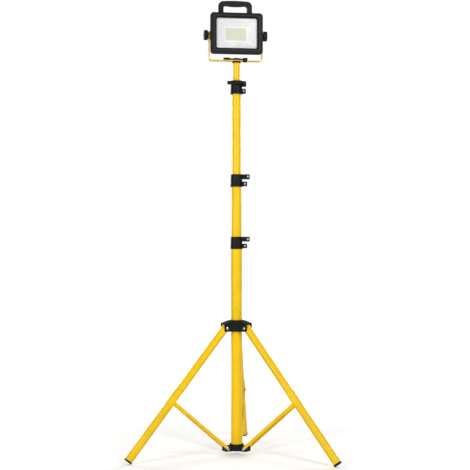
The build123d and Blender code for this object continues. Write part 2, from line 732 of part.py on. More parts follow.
def reflector():
    """White tray that widens from the light source to the glass."""
    y_front = FRONT_Y + GLASS_INSET + GLASS_T
    y_back = BOARD_Y - BOARD_T
    hole_w = CHIP_COLUMNS * CHIP_PITCH_X + 1
    hole_h = CHIP_ROWS * CHIP_PITCH_Z + 1
    floor_w = hole_w + 2 * REFLECTOR_LAND
    floor_h = hole_h + 2 * REFLECTOR_LAND
    wall = 2 * REFLECTOR_T
    tray = tray_solid(y_front, y_back, REFLECTOR_W, REFLECTOR_H, floor_w, floor_h)
    tray -= tray_solid(y_front, y_back - REFLECTOR_T, REFLECTOR_W - wall, REFLECTOR_H - wall,
                       floor_w - wall, floor_h - wall)
    rim = plate_xz(GLASS_W + GLASS_LAP, GLASS_H + GLASS_LAP, GLASS_CORNER, y_front, y_front + REFLECTOR_T)
    rim -= block(-REFLECTOR_W / 2 + REFLECTOR_T, REFLECTOR_W / 2 - REFLECTOR_T, y_front - 1,
                 y_front + REFLECTOR_T + 1, HEAD_Z - REFLECTOR_H / 2 + REFLECTOR_T,
                 HEAD_Z + REFLECTOR_H / 2 - REFLECTOR_T)
    hole = block(-hole_w / 2, hole_w / 2, y_back - 3, y_back + 1, HEAD_Z - hole_h / 2, HEAD_Z + hole_h / 2)
    return tray + rim - hole


def led_board():
    return block(-BOARD_W / 2, BOARD_W / 2, BOARD_Y - BOARD_T, BOARD_Y,
                 HEAD_Z - BOARD_H / 2, HEAD_Z + BOARD_H / 2)


def led_chips():
    chips = []
    for column in range(CHIP_COLUMNS):
        for row in range(CHIP_ROWS):
            x = (column - (CHIP_COLUMNS - 1) / 2) * CHIP_PITCH_X
            z = HEAD_Z + (row - (CHIP_ROWS - 1) / 2) * CHIP_PITCH_Z
            y = BOARD_Y - BOARD_T
            chips.append(block(x - CHIP_W / 2, x + CHIP_W / 2, y - CHIP_T, y,
                               z - CHIP_H / 2, z + CHIP_H / 2))
    return chips


def heat_plate():
    """Aluminium bridge that carries the board across the housing."""
    half = BODY_W / 2 - BODY_WALL
    return block(-half, half, BOARD_Y, BOARD_Y + SINK_T, HEAD_Z - BOARD_H / 2, HEAD_Z + BOARD_H / 2)


def led_driver():
    y1 = BODY_BACK - BODY_WALL
    return block(-DRIVER_W / 2, DRIVER_W / 2, y1 - DRIVER_T, y1, HEAD_Z - DRIVER_H / 2,
                 HEAD_Z + DRIVER_H / 2)


def wiring_box():
    y1 = BODY_BACK + BOX_DEPTH
    box = block(-BOX_HALF_W, BOX_HALF_W, BODY_BACK, y1, BOX_LOW, BOX_HIGH)
    box = fillet(box.edges().filter_by(Axis.Y), 5)
    box = fillet(box.faces().sort_by(Axis.Y)[-1].edges(), 2)
    box -= block(-BOX_HALF_W + 3, BOX_HALF_W - 3, BODY_BACK - 1, y1 - 3, BOX_LOW + 3, BOX_HIGH - 3)
    return box - cyl(GLAND_R - 2, BOX_LOW - 1, BOX_LOW + 4, 0, BODY_BACK + BOX_DEPTH / 2)


def cable_gland():
    y = BODY_BACK + BOX_DEPTH / 2
    gland = Pos(0, y, BOX_LOW - 5) * extrude(RegularPolygon(GLAND_NUT_R, 6), 5)
    gland += cyl(GLAND_R, BOX_LOW - 12, BOX_LOW - 5, 0, y)
    gland += Pos(0, y, BOX_LOW - 15) * Cone(GLAND_BORE_R + 2, GLAND_R, 6)
    gland += cyl(GLAND_R - 2, BOX_LOW, BOX_LOW + 6, 0, y)
    return gland - cyl(GLAND_BORE_R, BOX_LOW - 20, BOX_LOW + 7, 0, y)


def head_screws():
    """Four frame screws from behind the flange."""
    y0 = flange_y() + FLANGE_T
    screws = []
    for x, z in screw_places():
        screw = cyl_y(SCREW_HEAD_R, y0, y0 + SCREW_HEAD_T, x, z)
        screw += cyl_y(SCREW_R, y0 - FLANGE_T - GASKET_T - 5, y0, x, z)
        screws.append(screw)
    return screws


def handle_outline():
    """Handle seen from the front: two legs and a bar with a crown above and a belly below."""
    bottom = HEAD_Z + BODY_H / 2
    half = HANDLE_HALF
    outer = Pos(0, (HANDLE_TOP + bottom) / 2) * Rectangle(2 * half, HANDLE_TOP - bottom)
    outer = fillet(outer.vertices().group_by(Axis.Y)[-1], HANDLE_ROUND)
    span = half - HANDLE_ROUND
    rise = ThreePointArc((-span, HANDLE_TOP), (0, HANDLE_TOP + HANDLE_CROWN), (span, HANDLE_TOP))
    outer += make_face([rise, Line((span, HANDLE_TOP), (-span, HANDLE_TOP))])
    inner_half = half - HANDLE_LEG
    under = HANDLE_TOP - HANDLE_BAR
    inner = Pos(0, (under + bottom) / 2 - 10) * Rectangle(2 * inner_half, under - bottom + 20)
    inner = fillet(inner.vertices().group_by(Axis.Y)[-1], HANDLE_INNER_ROUND)
    reach = inner_half - HANDLE_INNER_ROUND
    sag = ThreePointArc((-reach, under), (0, under - HANDLE_BELLY), (reach, under))
    inner -= make_face([sag, Line((reach, under), (-reach, under))])
    return outer - inner


def handle():
    grip = Pos(0, HANDLE_Y + HANDLE_DEPTH / 2, 0) * extrude(Plane.XZ * handle_outline(), HANDLE_DEPTH)
    edges = grip.edges().filter_by(lambda edge: edge.length > 8 and abs(edge.center().Y - HANDLE_Y) > 7)
    top = edges.filter_by(lambda edge: edge.center().Z > HANDLE_TOP - HANDLE_BAR / 2)
    return fillet(top, HANDLE_EDGE)


def tilt_studs():
    """Threaded studs of the side pivots."""
    studs = []
    for side in (-1, 1):
        inside = BODY_W / 2 - BODY_WALL
        outside = KNOB_OUTER - 4
        studs.append(cyl_x(STUD_R, min(side * inside, side * outside), max(side * inside, side * outside),
                           0, PIVOT_Z))
    return studs


def friction_washers():
    """Fibre washers between the housing's bosses and the bracket."""
    washers = []
    inner = BRACKET_HALF - STRIP_T - GAP - 1.5
    for side in (-1, 1):
        low = min(side * inner, side * (inner + 1.5))
        washer = cyl_x(WASHER_R, low, low + 1.5, 0, PIVOT_Z)
        washers.append(washer - cyl_x(STUD_R, low - 1, low + 3, 0, PIVOT_Z))
    return washers


def side_knob(side):
    inner = KNOB_OUTER - KNOB_THICK
    low = min(side * inner, side * KNOB_OUTER)
    knob = cyl_x(KNOB_R, low, low + KNOB_THICK, 0, PIVOT_Z)
    for step in range(KNOB_LOBES):
        angle = math.radians((step + 0.5) * 360 / KNOB_LOBES)
        y = (KNOB_R + 1) * math.cos(angle)
        z = PIVOT_Z + (KNOB_R + 1) * math.sin(angle)
        knob -= cyl_x(KNOB_GROOVE_R, low - 1, low + KNOB_THICK + 1, y, z)
    hub = min(side * (BRACKET_HALF + GAP), side * inner)
    knob += cyl_x(WASHER_R - 1, hub, hub + inner - BRACKET_HALF - GAP, 0, PIVOT_Z)
    shank = KNOB_OUTER - 4 + GAP
    bore_low = min(side * BRACKET_HALF, side * shank)
    return knob - cyl_x(STUD_R + RUN, bore_low, bore_low + shank - BRACKET_HALF, 0, PIVOT_Z)


def head_nodes():
    """Everything that tilts or turns with the lamp, drawn about the lamp's own middle."""
    return {
        "front_frame": front_frame(),
        "front_glass": front_glass(),
        "gasket": gasket(),
        "rear_housing": rear_housing(),
        "reflector": reflector(),
        "led_board": led_board(),
        "led_chips": Compound(led_chips()),
        "heat_plate": heat_plate(),
        "led_driver": led_driver(),
        "wiring_box": wiring_box(),
        "cable_gland": cable_gland(),
        "head_screws": Compound(head_screws()),
        "handle": handle(),
        "tilt_studs": Compound(tilt_studs()),
        "friction_washers": Compound(friction_washers()),
        "side_knob_left": side_knob(-1),
        "side_knob_right": side_knob(1),
    }


def save(name, shape):
    """Writes one node. A list is a group of separate solids."""
    if isinstance(shape, list):
        solids = [solid for piece in shape for solid in piece.solids()]
    else:
        solids = shape.solids()
    whole = solids[0] if len(solids) == 1 else Compound(solids)
    export_step(whole, "parts/" + name + ".step")


def main():
    os.makedirs("parts", exist_ok=True)
    for index in range(4):
        save("mast_tube_" + str(index + 1), mast_tube(index))
    for index in range(1, 4):
        save("tube_guide_" + str(index + 1), tube_guide(index))
    save("brace_hub", brace_hub())
    save("hub_pins", hub_pins())
    save("leg_crown", leg_crown())
    save("crown_pins", crown_pins())
    save("crown_lock_knob", crown_lock_knob())
    save("crown_lock_screw", crown_lock_screw())
    for index in range(LEG_COUNT):
        number = str(index + 1)
        save("leg_" + number, leg_tube(index))
        save("foot_cap_" + number, foot_cap(index))
        save("leg_saddle_" + number, leg_saddle(index))
        save("leg_rivets_" + number, leg_rivets(index))
        save("brace_" + number, brace(index))
    for index in range(3):
        number = str(index + 1)
        save("clamp_body_" + number, clamp_body(index))
        save("clamp_bolts_" + number, clamp_bolts(index))
        save("clamp_lever_" + number, clamp_lever(index))
    save("top_plug", top_plug())
    save("top_stud", top_stud())
    save("bracket", bracket())
    save("wing_knob", wing_knob())
    save("wing_bolt_cap", wing_bolt_cap())
    save("bracket_clip", bracket_clip())
    for name, shape in head_nodes().items():
        save(name, Pos(BRACKET_SHIFT, 0, 0) * shape)


main()
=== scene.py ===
import json
import math

import bmesh
import bpy
from mathutils import Matrix, Vector


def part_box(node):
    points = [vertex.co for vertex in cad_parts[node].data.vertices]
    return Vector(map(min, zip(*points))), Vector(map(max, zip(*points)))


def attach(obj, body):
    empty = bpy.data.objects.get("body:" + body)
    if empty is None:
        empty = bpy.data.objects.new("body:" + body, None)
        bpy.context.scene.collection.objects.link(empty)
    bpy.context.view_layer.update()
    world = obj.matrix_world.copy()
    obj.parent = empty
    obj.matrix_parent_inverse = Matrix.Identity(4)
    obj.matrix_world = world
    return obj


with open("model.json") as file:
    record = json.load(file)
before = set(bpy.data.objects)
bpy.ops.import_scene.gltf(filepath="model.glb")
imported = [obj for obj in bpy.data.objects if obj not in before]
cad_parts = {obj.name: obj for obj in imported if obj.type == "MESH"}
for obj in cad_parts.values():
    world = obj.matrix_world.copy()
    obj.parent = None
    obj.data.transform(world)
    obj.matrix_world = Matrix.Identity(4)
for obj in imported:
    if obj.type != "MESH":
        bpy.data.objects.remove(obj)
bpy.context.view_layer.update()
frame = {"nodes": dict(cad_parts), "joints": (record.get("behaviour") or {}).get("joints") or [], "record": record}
NODES = frame["nodes"]

MM = 0.001


# ---------------- materials ----------------

def new_material(name):
    """A material with an empty Principled shader, its tree and the shader."""
    material = bpy.data.materials.new(name)
    material.use_nodes = True
    tree = material.node_tree
    shader = tree.nodes["Principled BSDF"]
    return material, tree, shader


def place_noise(tree, scale, detail=4.0, roughness=0.55, stretch=(1, 1, 1)):
    """Noise in the object's own metres. stretch squeezes it along an axis."""
    coordinates = tree.nodes.new("ShaderNodeTexCoord")
    mapping = tree.nodes.new("ShaderNodeMapping")
    mapping.inputs["Scale"].default_value = stretch
    noise = tree.nodes.new("ShaderNodeTexNoise")
    noise.inputs["Scale"].default_value = scale
    noise.inputs["Detail"].default_value = detail
    noise.inputs["Roughness"].default_value = roughness
    tree.links.new(coordinates.outputs["Object"], mapping.inputs["Vector"])
    tree.links.new(mapping.outputs["Vector"], noise.inputs["Vector"])
    return noise.outputs["Fac"]


def ramp(tree, source, stops):
    """Colour ramp over a factor. stops is a list of (position, colour)."""
    node = tree.nodes.new("ShaderNodeValToRGB")
    elements = node.color_ramp.elements
    elements[0].position, elements[0].color = stops[0][0], (*stops[0][1], 1)
    elements[1].position, elements[1].color = stops[-1][0], (*stops[-1][1], 1)
    for position, colour in stops[1:-1]:
        element = elements.new(position)
        element.color = (*colour, 1)
    tree.links.new(source, node.inputs["Fac"])
    return node.outputs["Color"]


def remap(tree, source, low, high, start=0.0, stop=1.0):
    """Factor from start..stop taken to low..high."""
    node = tree.nodes.new("ShaderNodeMapRange")
    node.inputs["From Min"].default_value = start
    node.inputs["From Max"].default_value = stop
    node.inputs["To Min"].default_value = low
    node.inputs["To Max"].default_value = high
    tree.links.new(source, node.inputs["Value"])
    return node.outputs["Result"]


def mix_colour(tree, factor, first, second):
    """Blends two colour outputs by a factor."""
    node = tree.nodes.new("ShaderNodeMix")
    node.data_type = "RGBA"
    tree.links.new(factor, node.inputs["Factor"])
    tree.links.new(first, node.inputs[6])
    tree.links.new(second, node.inputs[7])
    return node.outputs[2]


def bump(tree, shader, heights):
    """Chains bumps, given as (height output, strength, distance in metres)."""
    normal = None
    for height, strength, distance in heights:
        node = tree.nodes.new("ShaderNodeBump")
        node.inputs["Strength"].default_value = strength
        node.inputs["Distance"].default_value = distance
        tree.links.new(height, node.inputs["Height"])
        if normal:
            tree.links.new(normal, node.inputs["Normal"])
        normal = node.outputs["Normal"]
    tree.links.new(normal, shader.inputs["Normal"])


def scaled(colour, factor):
    return tuple(min(1.0, channel * factor) for channel in colour)


def powder_coat(name, colour, gloss, grain, shine=0.4, coat=0.3):
    """Powder coat: orange peel, faint mottling, dust in low patches and hairline scratches."""
    material, tree, shader = new_material(name)
    mottle = place_noise(tree, 22, 3)
    dust = place_noise(tree, 7, 5, 0.65)
    scratch = place_noise(tree, 90, 6, 0.7, (1, 1, 0.06))
    peel = place_noise(tree, grain, 2)
    fine = place_noise(tree, grain * 3.3, 2)
    paint = ramp(tree, mottle, [(0.3, scaled(colour, 0.94)), (0.5, colour), (0.72, scaled(colour, 1.05))])
    dusty = ramp(tree, mottle, [(0.3, scaled(colour, 0.86)), (0.7, scaled(colour, 0.93))])
    where = remap(tree, dust, 0.0, 0.75, 0.52, 0.72)
    base = mix_colour(tree, where, paint, dusty)
    line = remap(tree, scratch, 0.0, 0.35, 0.68, 0.74)
    bright = ramp(tree, mottle, [(0.2, scaled(colour, 1.12)), (0.8, scaled(colour, 1.2))])
    base = mix_colour(tree, line, base, bright)
    tree.links.new(base, shader.inputs["Base Color"])
    tree.links.new(remap(tree, dust, gloss - 0.07, gloss + 0.13, 0.3, 0.7), shader.inputs["Roughness"])
    shader.inputs["Specular IOR Level"].default_value = shine
    shader.inputs["Coat Weight"].default_value = coat
    shader.inputs["Coat Roughness"].default_value = 0.12
    bump(tree, shader, [(peel, 0.12, 0.0002), (fine, 0.08, 0.00008)])
    return material


def moulded_plastic(name, colour, gloss, grain=900, depth=0.35):
    """Moulded plastic: spark-eroded grain, faint flow marks and rubbed patches."""
    material, tree, shader = new_material(name)
    flow = place_noise(tree, 14, 3, 0.5, (1, 1, 0.4))
    rubbed = place_noise(tree, 38, 5, 0.6)
    grain_height = place_noise(tree, grain, 2, 0.5)
    coarse = place_noise(tree, grain * 0.35, 2, 0.5)
    base = ramp(tree, flow, [(0.25, scaled(colour, 0.85)), (0.55, colour), (0.8, scaled(colour, 1.2))])
    dusty = ramp(tree, rubbed, [(0.3, scaled(colour, 1.1)), (0.7, scaled(colour, 1.5))])
    base = mix_colour(tree, remap(tree, rubbed, 0.0, 0.5, 0.55, 0.72), base, dusty)
    tree.links.new(base, shader.inputs["Base Color"])
    tree.links.new(remap(tree, rubbed, gloss + 0.1, gloss - 0.12, 0.3, 0.7), shader.inputs["Roughness"])
    shader.inputs["Specular IOR Level"].default_value = 0.2
    bump(tree, shader, [(grain_height, depth, 0.00006), (coarse, depth * 0.6, 0.0001)])
    return material


def zinc_steel(name, colour=(0.60, 0.60, 0.59), gloss=0.28):
    """Zinc plated steel: fine turning lines, cloudy plating and dull spots."""
    material, tree, shader = new_material(name)
    cloud = place_noise(tree, 120, 4, 0.6)
    lines = place_noise(tree, 1800, 2, 0.5, (0.08, 1, 1))
    spots = place_noise(tree, 420, 3, 0.7)
    base = ramp(tree, cloud, [(0.25, scaled(colour, 0.78)), (0.55, colour), (0.8, scaled(colour, 1.15))])
    dull = ramp(tree, cloud, [(0.3, scaled(colour, 0.5)), (0.7, scaled(colour, 0.66))])
    base = mix_colour(tree, remap(tree, spots, 0.0, 0.6, 0.62, 0.75), base, dull)
    tree.links.new(base, shader.inputs["Base Color"])
    tree.links.new(remap(tree, cloud, gloss - 0.08, gloss + 0.16, 0.3, 0.7), shader.inputs["Roughness"])
    shader.inputs["Metallic"].default_value = 1.0
    bump(tree, shader, [(lines, 0.18, 0.00004)])
    return material


def clear_glass(name):
    """Tempered front glass with faint dust. Mostly see-through, it keeps only its reflections."""
    material, tree, shader = new_material(name)
    dust = place_noise(tree, 60, 6, 0.7)
    fine = place_noise(tree, 700, 3, 0.6)
    tree.links.new(ramp(tree, dust, [(0.3, (0.86, 0.90, 0.90)), (0.7, (0.95, 0.97, 0.97))]),
                   shader.inputs["Base Color"])
    tree.links.new(remap(tree, dust, 0.02, 0.12, 0.45, 0.8), shader.inputs["Roughness"])
    shader.inputs["Alpha"].default_value = 0.10
    shader.inputs["IOR"].default_value = 1.5
    bump(tree, shader, [(fine, 0.02, 0.00003)])
    return material


def led_phosphor(name):
    """Yellow phosphor with its silicone coat, as seen unlit."""
    material, tree, shader = new_material(name)
    patch = place_noise(tree, 240, 4, 0.6)
    tree.links.new(ramp(tree, patch, [(0.25, (0.56, 0.54, 0.34)), (0.5, (0.67, 0.65, 0.43)),
                                      (0.8, (0.66, 0.64, 0.48))]), shader.inputs["Base Color"])
    tree.links.new(remap(tree, patch, 0.28, 0.45), shader.inputs["Roughness"])
    shader.inputs["Coat Weight"].default_value = 0.5
    shader.inputs["Coat Roughness"].default_value = 0.12
    bump(tree, shader, [(patch, 0.15, 0.0001)])
    return material


def floor_surface(name):
    """Plain pale floor. It glows a little under the object and evenly white far out."""
    material, tree, shader = new_material(name)
    patch = place_noise(tree, 3, 3)
    tree.links.new(ramp(tree, patch, [(0.3, (0.78, 0.78, 0.78)), (0.7, (0.80, 0.80, 0.80))]),
                   shader.inputs["Base Color"])
    tree.links.new(remap(tree, patch, 0.7, 0.8), shader.inputs["Roughness"])
    shader.inputs["Specular IOR Level"].default_value = 0.1
    shader.inputs["Emission Color"].default_value = (1, 1, 1, 1)
    place = tree.nodes.new("ShaderNodeTexCoord")
    radius = tree.nodes.new("ShaderNodeVectorMath")
    radius.operation = "LENGTH"
    tree.links.new(place.outputs["Object"], radius.inputs[0])
    glow = remap(tree, radius.outputs["Value"], FLOOR_GLOW, 1.0, 0.7, 2.6)
    path = tree.nodes.new("ShaderNodeLightPath")
    shown = tree.nodes.new("ShaderNodeMath")
    shown.operation = "MULTIPLY"
    tree.links.new(remap(tree, path.outputs["Is Camera Ray"], FLOOR_BOUNCE, 1.0), shown.inputs[0])
    tree.links.new(glow, shown.inputs[1])
    tree.links.new(shown.outputs["Value"], shader.inputs["Emission Strength"])
    return material


def axis_reach(tree, axis, middle, half):
    """How far a point is from a middle along one axis, as a share of a half width."""
    place = tree.nodes.new("ShaderNodeTexCoord")
    split = tree.nodes.new("ShaderNodeSeparateXYZ")
    tree.links.new(place.outputs["Object"], split.inputs["Vector"])
    away = tree.nodes.new("ShaderNodeMath")
    away.operation = "SUBTRACT"
    tree.links.new(split.outputs[axis], away.inputs[0])
    away.inputs[1].default_value = middle
    size = tree.nodes.new("ShaderNodeMath")
    size.operation = "ABSOLUTE"
    tree.links.new(away.outputs["Value"], size.inputs[0])
    share = tree.nodes.new("ShaderNodeMath")
    share.operation = "DIVIDE"
    tree.links.new(size.outputs["Value"], share.inputs[0])
    share.inputs[1].default_value = half
    return share.outputs["Value"]


def paint_surround_shade(material):
    """Painted shade: near-black on the bevel round the glass, where the inner wall lies in shadow, in a
    powder-coated frame.
    """
    tree = material.node_tree
    shader = tree.nodes["Principled BSDF"]
    low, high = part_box("front_glass")
    middle = [(low[k] + high[k]) / 2 for k in range(3)]
    wide = axis_reach(tree, "X", middle[0], (high[0] - low[0]) / 2 + 2.2 * MM)
    tall = axis_reach(tree, "Z", middle[2], (high[2] - low[2]) / 2 + 2.2 * MM)
    outer = tree.nodes.new("ShaderNodeMath")
    outer.operation = "MAXIMUM"
    tree.links.new(wide, outer.inputs[0])
    tree.links.new(tall, outer.inputs[1])
    painted_shade_mask = remap(tree, outer.outputs["Value"], 1.0, 0.0, 0.985, 1.0)
    coat = shader.inputs["Base Color"].links[0].from_socket
    # near-black painted shade, standing in for the shadow inside the bevel round the glass
    painted_shade = ramp(tree, outer.outputs["Value"], [(0.8, (0.002, 0.002, 0.002)), (1.0, (0.004, 0.004, 0.004))])
    tree.links.new(mix_colour(tree, painted_shade_mask, coat, painted_shade), shader.inputs["Base Color"])


FLOOR_GLOW = 0.34     # how white the floor looks by itself under the object
FLOOR_BOUNCE = 0.12   # share of that it casts on the object
YELLOW = (0.94, 0.60, 0.0005)
BLACK = (0.006, 0.006, 0.007)
CHARCOAL = (0.016, 0.016, 0.018)
WHITE = (0.89, 0.89, 0.89)

FINISH = {
    "yellow_paint": powder_coat("yellow_paint", YELLOW, 0.30, 420, 0.22, 0.2),
    "dark_plastic": moulded_plastic("dark_plastic", BLACK, 0.46),
    "grip_plastic": moulded_plastic("grip_plastic", BLACK, 0.52, 1100, 0.5),
    "dark_housing": powder_coat("dark_housing", CHARCOAL, 0.42, 1300, 0.18, 0.04),
    "glass": clear_glass("glass"),
    "rubber": moulded_plastic("rubber", (0.014, 0.014, 0.014), 0.72, 700, 0.4),
    "reflector_white": moulded_plastic("reflector_white", WHITE, 0.30, 500, 0.08),
    "board_white": moulded_plastic("board_white", (0.78, 0.78, 0.74), 0.42, 1500, 0.1),
    "led_phosphor": led_phosphor("led_phosphor"),
    "bare_aluminium": zinc_steel("bare_aluminium", (0.72, 0.72, 0.73), 0.34),
    "driver_case": moulded_plastic("driver_case", (0.45, 0.45, 0.43), 0.5),
    "steel": zinc_steel("steel"),
}
# the second material goes on the frame's bevels and is lighter: partly wear, partly painted highlight
FRONT_FINISH = [powder_coat("front_frame", scaled(CHARCOAL, 1.1), 0.38, 1300, 0.18, 0.04),
                powder_coat("front_frame_edge", scaled(CHARCOAL, 2.4), 0.30, 1300, 0.3, 0.1)]
# lighter copies on the bevelled edges, partly rubbed wear and partly painted highlight: lighter paint, polished
# plastic and brighter metal
EDGE_WEAR_AND_HIGHLIGHT = {
    "yellow_paint": powder_coat("yellow_edge", scaled(YELLOW, 1.1), 0.24, 420, 0.3, 0.25),
    "dark_plastic": moulded_plastic("dark_plastic_edge", scaled(BLACK, 2.2), 0.34),
    "grip_plastic": moulded_plastic("grip_plastic_edge", scaled(BLACK, 2.2), 0.36, 1100, 0.4),
    "dark_housing": powder_coat("dark_housing_edge", scaled(CHARCOAL, 2), 0.34, 1300, 0.3, 0.1),
    "steel": zinc_steel("steel_edge", (0.72, 0.72, 0.71), 0.2),
}


# ---------------- dressing the CAD nodes ----------------

BEVEL = {
    "yellow_paint": 0.35, "dark_plastic": 0.7, "grip_plastic": 1.2, "dark_housing": 0.6,
    "rubber": 0.6, "steel": 0.3, "glass": 0.4, "bare_aluminium": 0.3, "board_white": 0.2,
    "led_phosphor": 0.25, "driver_case": 1.0, "reflector_white": 0.2,
}
SHARP = math.radians(32)   # from this angle on an edge counts as sharp
WELD_REACH = 2e-5          # metres
BEVEL_STEPS = 2


def soften(piece, width, edge_slot=None):
    """Closes the CAD faces' seams, rounds the edges and keeps the flats flat."""
    weld = piece.modifiers.new("weld", "WELD")
    weld.merge_threshold = WELD_REACH
    bevel = piece.modifiers.new("bevel", "BEVEL")
    bevel.width = width
    bevel.segments = BEVEL_STEPS
    bevel.limit_method = "ANGLE"
    bevel.angle_limit = SHARP
    bevel.use_clamp_overlap = True
    bevel.harden_normals = True
    if edge_slot is not None:
        bevel.material = edge_slot
    weighted = piece.modifiers.new("normals", "WEIGHTED_NORMAL")
    weighted.keep_sharp = True


def dress_nodes():
    """Gives each CAD node its finish and rounds its edges."""
    slots = {row["node"]: row["material_slot"] for row in frame["record"]["subparts"]}
    for name, node in NODES.items():
        finish = slots[name]
        node.data.materials.clear()
        node.data.materials.append(FINISH[finish])
        edge_slot = None
        # the bevels take the lighter edge copy: partly wear, partly painted highlight
        if finish in EDGE_WEAR_AND_HIGHLIGHT:
            node.data.materials.append(EDGE_WEAR_AND_HIGHLIGHT[finish])
            edge_slot = 1
        if name == "front_frame":
            node.data.materials.clear()
            for material in FRONT_FINISH:
                # both frame materials get the painted shade on the bevel round the glass
                paint_surround_shade(material)
                node.data.materials.append(material)
        soften(node, BEVEL[finish] * MM, edge_slot)


# ---------------- new pieces ----------------

def add_mesh(name, bm, finish, body):
    """Makes an object of a bmesh, with its finish, riding on a body."""
    bmesh.ops.recalc_face_normals(bm, faces=bm.faces)
    mesh = bpy.data.meshes.new(name)
    bm.to_mesh(mesh)
    bm.free()
    for polygon in mesh.polygons:
        polygon.use_smooth = True
    piece = bpy.data.objects.new(name, mesh)
    bpy.context.collection.objects.link(piece)
    mesh.materials.append(FINISH[finish])
    mesh.set_sharp_from_angle(angle=SHARP)
    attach(piece, body)
    return piece


def centre(node):
    low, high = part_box(node)
    return (Vector(low) + Vector(high)) / 2


def axis_frame(point, axis):
    """Matrix that takes local +Z to an axis at a point."""
    return Matrix.Translation(point) @ Vector(axis).to_track_quat("Z", "Y").to_matrix().to_4x4()


def lathe(bm, profile, place, segments=32):
    """Turns a closed or open profile of (radius, height) about local Z. Ends at radius 0 are closed."""
    rings = []
    for radius, height in profile:
        if radius < 1e-7:
            rings.append([bm.verts.new(place @ Vector((0, 0, height)))])
            continue
        turn = []
        for step in range(segments):
            angle = 2 * math.pi * step / segments
            point = Vector((radius * math.cos(angle), radius * math.sin(angle), height))
            turn.append(bm.verts.new(place @ point))
        rings.append(turn)
    for first, second in zip(rings, rings[1:]):
        for step in range(segments):
            after = (step + 1) % segments
            if len(first) == 1 and len(second) == 1:
                continue
            if len(first) == 1:
                bm.faces.new((first[0], second[step], second[after]))
            elif len(second) == 1:
                bm.faces.new((first[step], first[after], second[0]))
            else:
                bm.faces.new((first[step], first[after], second[after], second[step]))


def dome(radius, height, sink=0.0004, steps=6):
    """Profile of a domed head that stands on its base plane."""
    points = [(0, -sink), (radius, -sink)]
    for step in range(steps + 1):
        angle = math.pi / 2 * step / steps
        points.append((radius * math.cos(angle), height * math.sin(angle)))
    points[-1] = (0, height)
    return points


dress_nodes()


# ---------------- rivets, screws and caps ----------------

JOINTS = {joint["name"]: joint for joint in frame["joints"]}
LEGS = ("1", "2", "3")
NEAR = 60 * MM


def pivot(joint):
    """Pivot point and unit axis of a joint."""
    row = JOINTS[joint]
    return Vector(row["pos_m"]), Vector(row["axis"]).normalized()


def add_rivet_domes(name, node, joints, body):
    """Domed caps on both heads of each pin of a node."""
    bm = bmesh.new()
    for joint in joints:
        point, axis = pivot(joint)
        near = [v.co for v in NODES[node].data.vertices if (v.co - point).length < NEAR]
        far = max((co - point).dot(axis) for co in near)
        for side in (-1, 1):
            place = axis_frame(point + axis * side * far, axis * side)
            lathe(bm, dome(4.6 * MM, 1.3 * MM), place, 24)
    add_mesh(name, bm, "steel", body)


def add_knob_cap(side, name):
    """Ring and screw end in the middle of a side knob."""
    point = pivot("side_knob_turn_" + name)[0]
    low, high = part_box("side_knob_" + name)
    outer = high[0] if side > 0 else low[0]
    place = axis_frame((outer, 0, point.z), (side, 0, 0))
    bm = bmesh.new()
    profile = [(0, -1), (11.5, -1), (11.5, 0.3), (10.7, 0.8), (9.9, 0.3), (9.4, 0.1), (6.2, 0.1),
               (5.8, 0.5), (5.2, 0.7), (0, 0.8)]
    lathe(bm, [(radius * MM, height * MM) for radius, height in profile], place, 40)
    add_mesh("side_knob_cap_" + name, bm, "dark_plastic", "side_" + name)


def add_wing_screw():
    """Pan head in the wing knob."""
    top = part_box("wing_bolt_cap")[1][2]
    place = Matrix.Translation((0, 0, top))
    bm = bmesh.new()
    lathe(bm, dome(5.6 * MM, 1.0 * MM), place, 32)
    add_mesh("wing_screw_head", bm, "steel", "wing")


def add_box_lid_screws():
    """Four screws on the wiring box's lid."""
    low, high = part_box("wiring_box")
    inset = 5.5 * MM
    bm = bmesh.new()
    for x in (low[0] + inset, high[0] - inset):
        for z in (low[2] + inset, high[2] - inset):
            lathe(bm, dome(2.6 * MM, 1.2 * MM), axis_frame((x, high[1], z), (0, 1, 0)), 20)
    add_mesh("wiring_box_screws", bm, "steel", "head")


def add_gland_seal():
    """Rubber ring in the mouth of the cable gland."""
    middle = centre("cable_gland")
    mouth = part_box("cable_gland")[0][2]
    place = Matrix.Translation((middle.x, middle.y, mouth))
    bm = bmesh.new()
    profile = [(3.7, 9), (3.7, 1), (3.0, 0.2), (2.4, 0.6), (2.2, 2), (2.2, 9), (3.7, 9)]
    lathe(bm, [(radius * MM, height * MM) for radius, height in profile], place, 28)
    add_mesh("gland_seal", bm, "rubber", "head")


def add_board_screws():
    """Screws at the corners of the light source's board."""
    low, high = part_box("led_board")
    bm = bmesh.new()
    for x in (low[0] + 3 * MM, high[0] - 3 * MM):
        for z in (low[2] + 3.2 * MM, high[2] - 3.2 * MM):
            lathe(bm, dome(2.2 * MM, 1.0 * MM), axis_frame((x, low[1], z), (0, -1, 0)), 18)
    add_mesh("board_screws", bm, "steel", "head")


def half_round(radius, height, size, sunk):
    """Closed profile of a bead that stands on a surface at a radius."""
    points = []
    for step in range(9):
        angle = math.pi * step / 8
        points.append((radius + size * math.sin(angle), height - size * math.cos(angle)))
    points.append((radius - sunk, height + size))
    points.append((radius - sunk, height - size))
    points.append(points[0])
    return points


def sweep_arc(bm, profile, place, start, stop, segments=60):
    """Turns a closed profile through part of a circle about local Z and caps both ends."""
    sections = []
    for step in range(segments + 1):
        angle = start + (stop - start) * step / segments
        turn = Vector((math.cos(angle), math.sin(angle), 0))
        sections.append([bm.verts.new(place @ (turn * radius + Vector((0, 0, height))))
                         for radius, height in profile[:-1]])
    count = len(sections[0])
    for first, second in zip(sections, sections[1:]):
        for step in range(count):
            after = (step + 1) % count
            bm.faces.new((first[step], first[after], second[after], second[step]))
    bm.faces.new(sections[0])
    bm.faces.new(reversed(sections[-1]))


